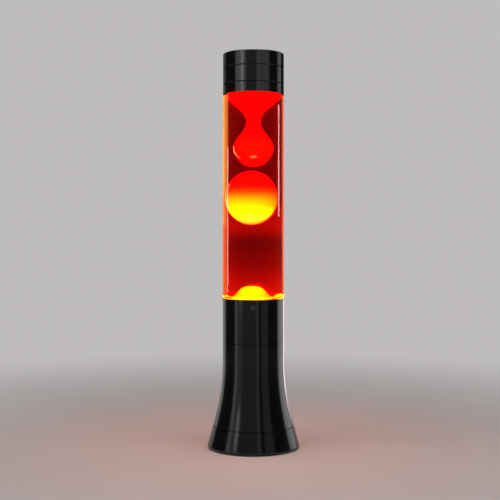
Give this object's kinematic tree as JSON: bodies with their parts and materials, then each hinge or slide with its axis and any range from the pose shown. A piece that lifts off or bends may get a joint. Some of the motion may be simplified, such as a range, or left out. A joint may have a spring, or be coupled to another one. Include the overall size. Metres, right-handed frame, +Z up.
{
  "type": "lava lamp",
  "caption": "Straight tube lava lamp with a flared black base, a flush black cap and a lift-out glass bottle of red liquid and yellow wax, lit by a bulb in the base.",
  "frame": {"origin": "on the surface the lamp stands on, under its axis", "axes": "+Z up along the lamp's axis; -Y is the front; the cable inlet is at +Y"},
  "size_m": [0.0932, 0.0932, 0.4],
  "materials": {
    "black_lacquer": "satin",
    "black_moulding": "matte",
    "black_gloss_moulding": "satin",
    "black_plate": "matte",
    "black_screw": "blackened",
    "zinc_steel": "zinc plated",
    "black_rubber": "matte",
    "white_phenolic": "satin",
    "holder_brass": "plain",
    "bulb_metal": "satin",
    "bulb_solder": "dull",
    "bulb_black_glass": "gloss",
    "bulb_glass": "silvered side, frosted face",
    "stem_glass": "clear",
    "filament_wire": "glowing",
    "clear_glass": "clear",
    "red_liquid": "clear liquid",
    "wax_red": "wax",
    "wax_orange": "wax",
    "wax_yellow": "wax",
    "liner_foam": "matte",
    "crown_steel": "plain"
  },
  "bodies": {
    "base": {"foot_ring": "black_gloss_moulding", "inlet_grommet": "black_rubber", "flared_shell": "black_lacquer", "collar_sleeve": "black_lacquer", "collar_screws": "black_screw", "bottle_seat": "black_moulding", "bottom_plate": "black_plate", "rubber_feet": "black_rubber", "plate_screws": "zinc_steel", "holder_bracket": "zinc_steel", "bracket_screws": "zinc_steel", "bracket_nuts": "zinc_steel", "holder_base": "white_phenolic", "holder_body": "white_phenolic", "holder_nut": "zinc_steel", "holder_shell": "holder_brass", "holder_contact": "holder_brass", "holder_terminals": "holder_brass"},
    "bulb_tip": {"bulb_contact": "bulb_solder", "bulb_insulator": "bulb_black_glass"},
    "bulb": {"bulb_cap": "bulb_metal", "bulb_envelope": "bulb_glass", "bulb_stem": "stem_glass", "bulb_leads": "zinc_steel", "bulb_filament": "filament_wire"},
    "bottle": {"glass_bottle": "clear_glass", "liquid": "red_liquid", "wax_pool": "wax_yellow", "wax_column": "wax_red", "heat_coil": "zinc_steel", "crown_cap": "crown_steel", "crown_liner": "liner_foam"},
    "wax": {"wax_ball": "wax_orange"},
    "cap": {"cap_liner": "black_moulding", "cap_lower_ring": "black_lacquer", "cap_middle_ring": "black_lacquer", "cap_top_cover": "black_lacquer"}
  },
  "joints": [
    {"name": "bottle_lift", "type": "slide", "parent": "base", "child": "bottle", "axis": [0, 0, 1], "range_m": [0, 0.06]},
    {"name": "cap_lift", "type": "slide", "parent": "bottle", "child": "cap", "axis": [0, 0, 1], "range_m": [0, 0.06]},
    {"name": "wax_drift", "type": "slide", "parent": "bottle", "child": "wax", "axis": [0, 0, 1], "range_m": [-0.06, 0.003], "deforming": ["liquid"]},
    {"name": "bulb_rise", "type": "slide", "parent": "base", "child": "bulb_tip", "axis": [0, 0, 1], "range_m": [0, 0.00848]},
    {"name": "bulb_turn", "type": "hinge", "parent": "bulb_tip", "child": "bulb", "pos_m": [0, 0, 0.065], "axis": [0, 0, 1], "range_deg": [0, 1080]}
  ],
  "couplings": [
    {"joint": "bulb_rise", "follows": "bulb_turn", "m_per_rad": 0.00044914}
  ]
}
